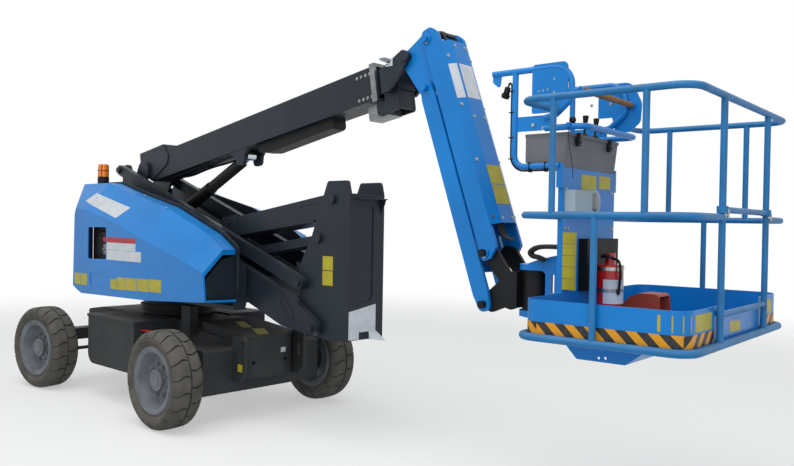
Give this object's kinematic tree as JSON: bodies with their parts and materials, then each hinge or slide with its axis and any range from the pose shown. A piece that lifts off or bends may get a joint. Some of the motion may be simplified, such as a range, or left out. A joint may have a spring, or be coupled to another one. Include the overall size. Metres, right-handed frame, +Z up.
{
  "type": "articulating boom lift",
  "caption": "Self-propelled work platform on a wheeled chassis: turntable, folding riser arms, telescopic boom, levelled jib and a turning railed platform.",
  "frame": {"origin": "on the floor under the turntable's turning axis, midway between the axles", "axes": "+X the way the boom points when parked, towards the drive wheels; +Y the machine's left; +Z up"},
  "size_m": [6.1822, 1.7866, 2.6969],
  "materials": {
    "tyre_rubber": "matt",
    "wheel_paint": "satin",
    "blue_paint": "semi-gloss",
    "grey_plastic": "matt",
    "console_paint": "satin",
    "silver_paint": "satin",
    "black_rubber": "matt",
    "black_plastic": "matt",
    "amber_plastic": "gloss",
    "red_plastic": "matt",
    "red_paint": "gloss",
    "rod_chrome": "polished",
    "black_paint": "satin",
    "dark_paint": "satin"
  },
  "bodies": {
    "chassis": {"chassis_frame": "dark_paint", "battery_box_right": "dark_paint", "battery_box_left": "dark_paint", "end_hood": "dark_paint", "drive_axle": "dark_paint", "steer_axle": "dark_paint", "slew_ring": "black_paint"},
    "knuckle_right": {"knuckle_right": "dark_paint"},
    "knuckle_left": {"knuckle_left": "dark_paint"},
    "tie_rod": {"tie_rod": "dark_paint"},
    "wheel_drive_right": {"rim_drive_right": "wheel_paint", "tyre_drive_right": "tyre_rubber"},
    "wheel_drive_left": {"rim_drive_left": "wheel_paint", "tyre_drive_left": "tyre_rubber"},
    "wheel_steer_right": {"rim_steer_right": "wheel_paint", "tyre_steer_right": "tyre_rubber"},
    "wheel_steer_left": {"rim_steer_left": "wheel_paint", "tyre_steer_left": "tyre_rubber"},
    "turntable": {"turntable_frame": "dark_paint", "counterweight": "dark_paint", "control_unit": "black_plastic"},
    "cover_right": {"cover_right": "blue_paint", "beacon_base": "black_plastic", "beacon_lens": "amber_plastic"},
    "cover_left": {"cover_left": "blue_paint"},
    "lower_arm": {"lower_arm": "dark_paint"},
    "lower_link": {"lower_link_right": "dark_paint", "lower_link_left": "dark_paint"},
    "upright": {"upright": "dark_paint"},
    "upper_arm": {"upper_arm": "dark_paint"},
    "upper_link": {"upper_link": "dark_paint"},
    "boom_support": {"boom_support": "dark_paint"},
    "riser_barrel": {"riser_cylinder_barrel": "black_paint"},
    "riser_rod": {"riser_cylinder_rod": "rod_chrome"},
    "main_boom": {"main_boom": "dark_paint", "hose_carrier": "black_plastic", "boom_collar": "silver_paint"},
    "fly_boom": {"fly_boom": "dark_paint"},
    "lift_barrel": {"lift_cylinder_barrel": "black_paint"},
    "lift_rod": {"lift_cylinder_rod": "rod_chrome"},
    "jib_base": {"jib_base": "blue_paint"},
    "jib_arm": {"jib_arm": "blue_paint", "jib_cover": "blue_paint"},
    "jib_link": {"jib_link": "blue_paint"},
    "jib_barrel": {"jib_cylinder_barrel": "black_paint"},
    "jib_rod": {"jib_cylinder_rod": "rod_chrome"},
    "platform_support": {"platform_support": "black_paint"},
    "platform": {"platform_rails": "blue_paint", "platform_tray": "blue_paint", "platform_mount": "blue_paint", "column": "blue_paint", "control_box": "console_paint", "foot_switch": "red_plastic", "extinguisher": "red_paint", "document_case": "black_plastic", "console_guards": "blue_paint", "outlet_box": "grey_plastic", "guard_cable": "black_rubber", "hang_cord": "black_rubber"},
    "gate_bar": {"gate_bar": "blue_paint"}
  },
  "joints": [
    {"name": "slew", "type": "hinge", "parent": "chassis", "child": "turntable", "pos_m": [0, 0, 0.85], "axis": [0, 0, 1], "range_deg": [-177.5, 177.5]},
    {"name": "steer_right", "type": "hinge", "parent": "chassis", "child": "knuckle_right", "pos_m": [-1, -0.61, 0.356], "axis": [0, 0, 1], "range_deg": [-42, 27]},
    {"name": "steer_left", "type": "hinge", "parent": "chassis", "child": "knuckle_left", "pos_m": [-1, 0.61, 0.356], "axis": [0, 0, 1], "range_deg": [-42, 27]},
    {"name": "tie_rod_slide", "type": "slide", "parent": "chassis", "child": "tie_rod", "axis": [0, 1, 0], "range_m": [-0.0721, 0.1111]},
    {"name": "drive_right_turn", "type": "hinge", "parent": "chassis", "child": "wheel_drive_right", "pos_m": [1, -0.737, 0.356], "axis": [0, 1, 0], "continuous": true},
    {"name": "drive_left_turn", "type": "hinge", "parent": "chassis", "child": "wheel_drive_left", "pos_m": [1, 0.737, 0.356], "axis": [0, 1, 0], "continuous": true},
    {"name": "steer_right_turn", "type": "hinge", "parent": "knuckle_right", "child": "wheel_steer_right", "pos_m": [-0.98386, -0.73597, 0.356], "axis": [-0.1271, 0.9919, 0], "continuous": true},
    {"name": "steer_left_turn", "type": "hinge", "parent": "knuckle_left", "child": "wheel_steer_left", "pos_m": [-1.01614, 0.73597, 0.356], "axis": [-0.1271, 0.9919, 0], "continuous": true},
    {"name": "cover_right_swing", "type": "hinge", "parent": "turntable", "child": "cover_right", "pos_m": [1.336, -0.352, 1.1], "axis": [0, 0, 1], "range_deg": [0, 80]},
    {"name": "cover_left_swing", "type": "hinge", "parent": "turntable", "child": "cover_left", "pos_m": [1.336, 0.352, 1.1], "axis": [0, 0, -1], "range_deg": [0, 80]},
    {"name": "riser_lift", "type": "hinge", "parent": "turntable", "child": "lower_arm", "pos_m": [-0.521, 0, 1.652], "axis": [0, -1, 0], "range_deg": [0, 79]},
    {"name": "lower_link_lift", "type": "hinge", "parent": "turntable", "child": "lower_link", "pos_m": [-0.665, 0, 1.949], "axis": [0, -1, 0], "range_deg": [0, 79]},
    {"name": "upright_level", "type": "hinge", "parent": "lower_arm", "child": "upright", "pos_m": [1.99911, 0, 0.78524], "axis": [0, -1, 0], "range_deg": [-79, 0]},
    {"name": "upper_arm_lift", "type": "hinge", "parent": "upright", "child": "upper_arm", "pos_m": [2.13201, 0, 1.66305], "axis": [0, 1, 0], "range_deg": [0, 66.6]},
    {"name": "upper_link_lift", "type": "hinge", "parent": "upright", "child": "upper_link", "pos_m": [1.99701, 0, 1.39705], "axis": [0, 1, 0], "range_deg": [0, 66.6]},
    {"name": "support_level", "type": "hinge", "parent": "upper_arm", "child": "boom_support", "pos_m": [-0.6354, 0, 1.2371], "axis": [0, -1, 0], "range_deg": [0, 66.6]},
    {"name": "riser_barrel_swing", "type": "hinge", "parent": "turntable", "child": "riser_barrel", "pos_m": [-0.25, 0, 0.985], "axis": [0, -1, 0], "range_deg": [0, 74.21]},
    {"name": "riser_rod_slide", "type": "slide", "parent": "riser_barrel", "child": "riser_rod", "axis": [0.999, 0, -0.0442], "range_m": [0, 0.8981]},
    {"name": "boom_lift", "type": "hinge", "parent": "boom_support", "child": "main_boom", "pos_m": [-0.403, 0, 1.957], "axis": [0, -1, 0], "range_deg": [0, 50]},
    {"name": "lift_barrel_swing", "type": "hinge", "parent": "boom_support", "child": "lift_barrel", "pos_m": [-0.45, 0, 1.352], "axis": [0, -1, 0], "range_deg": [0, 37.96]},
    {"name": "lift_rod_slide", "type": "slide", "parent": "lift_barrel", "child": "lift_rod", "axis": [0.9065, 0, 0.4223], "range_m": [0, 0.3463]},
    {"name": "boom_extend", "type": "slide", "parent": "main_boom", "child": "fly_boom", "axis": [0.9863, 0, 0.165], "range_m": [0, 1.35]},
    {"name": "jib_base_level", "type": "hinge", "parent": "fly_boom", "child": "jib_base", "pos_m": [2.74507, 0, 2.549], "axis": [0, -1, 0], "range_deg": [-50, 0]},
    {"name": "jib_lift", "type": "hinge", "parent": "jib_base", "child": "jib_arm", "pos_m": [2.91397, 0, 2.63], "axis": [0, -1, 0], "range_deg": [0, 118]},
    {"name": "jib_link_lift", "type": "hinge", "parent": "jib_base", "child": "jib_link", "pos_m": [2.91397, 0, 2.336], "axis": [0, -1, 0], "range_deg": [0, 118]},
    {"name": "jib_barrel_swing", "type": "hinge", "parent": "jib_base", "child": "jib_barrel", "pos_m": [2.89566, 0, 2.4208], "axis": [0, -1, 0], "range_deg": [0, 118.09]},
    {"name": "jib_rod_slide", "type": "slide", "parent": "jib_barrel", "child": "jib_rod", "axis": [0.4594, 0, -0.8883], "range_m": [0, 0.3619]},
    {"name": "platform_level", "type": "hinge", "parent": "jib_arm", "child": "platform_support", "pos_m": [3.37488, 0, 1.34624], "axis": [0, -1, 0], "range_deg": [-118, 0]},
    {"name": "platform_rotate", "type": "hinge", "parent": "platform_support", "child": "platform", "pos_m": [3.63998, 0, 1.2], "axis": [0, 0, 1], "range_deg": [-75, 75]},
    {"name": "gate_bar_slide", "type": "slide", "parent": "platform", "child": "gate_bar", "axis": [0, 0, 1], "range_m": [0, 0.44]}
  ],
  "couplings": [
    {"joint": "steer_left", "follows": "steer_right", "ratio": 1},
    {"joint": "tie_rod_slide", "follows": "steer_right", "m_per_rad": -0.14878},
    {"joint": "lower_link_lift", "follows": "riser_lift", "ratio": 1},
    {"joint": "upright_level", "follows": "riser_lift", "ratio": -1},
    {"joint": "upper_arm_lift", "follows": "riser_lift", "ratio": 0.84},
    {"joint": "upper_link_lift", "follows": "riser_lift", "ratio": 0.84},
    {"joint": "support_level", "follows": "riser_lift", "ratio": 0.84},
    {"joint": "riser_barrel_swing", "follows": "riser_lift", "ratio": 0.93306},
    {"joint": "riser_rod_slide", "follows": "riser_lift", "m_per_rad": 0.64992},
    {"joint": "lift_barrel_swing", "follows": "boom_lift", "ratio": 0.74925},
    {"joint": "lift_rod_slide", "follows": "boom_lift", "m_per_rad": 0.39449},
    {"joint": "jib_base_level", "follows": "boom_lift", "ratio": -1},
    {"joint": "jib_link_lift", "follows": "jib_lift", "ratio": 1},
    {"joint": "jib_barrel_swing", "follows": "jib_lift", "ratio": 0.99651},
    {"joint": "jib_rod_slide", "follows": "jib_lift", "m_per_rad": 0.17477},
    {"joint": "platform_level", "follows": "jib_lift", "ratio": -1}
  ]
}
